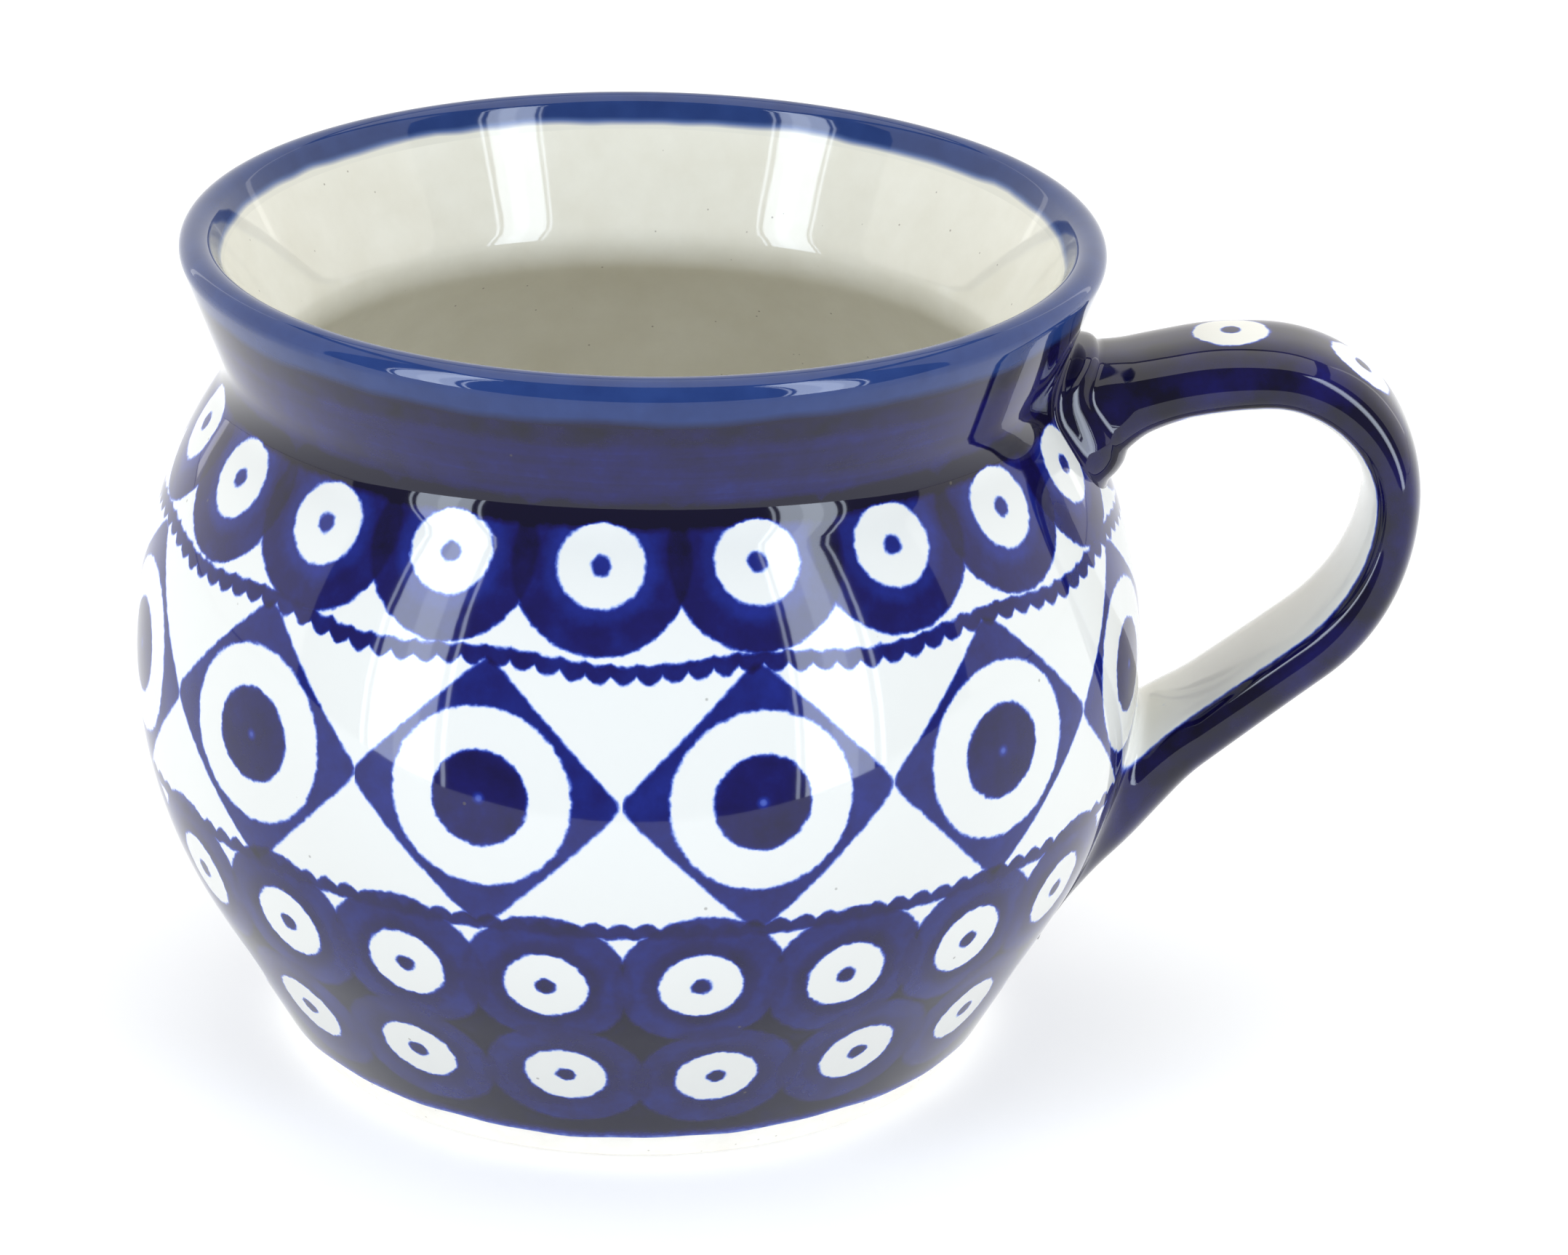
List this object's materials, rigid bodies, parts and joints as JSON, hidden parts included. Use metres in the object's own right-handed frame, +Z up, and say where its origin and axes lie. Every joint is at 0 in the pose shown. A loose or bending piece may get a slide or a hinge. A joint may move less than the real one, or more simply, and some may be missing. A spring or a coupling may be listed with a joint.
{
  "type": "stoneware mug",
  "caption": "Round-bellied stoneware mug with a flared rim, a side strap handle and cobalt stamped decoration under clear glaze.",
  "frame": {"origin": "centre of the foot ring's underside, on the body's axis", "axes": "+Z up along the body's axis, +X from the axis towards the handle"},
  "size_m": [0.1343, 0.106, 0.089],
  "materials": {
    "stoneware": "matte",
    "cobalt_glaze": "gloss",
    "rim_glaze": "gloss",
    "cream_glaze": "gloss",
    "handle_glaze": "gloss"
  },
  "bodies": {
    "root": {"body": "stoneware", "handle": "stoneware", "handle_upper_luting": "stoneware", "handle_lower_luting": "stoneware", "outer_glaze": "cobalt_glaze", "rim_glaze": "rim_glaze", "inner_glaze": "cream_glaze", "handle_glaze": "handle_glaze", "base_glaze": "cream_glaze"}
  },
  "joints": []
}
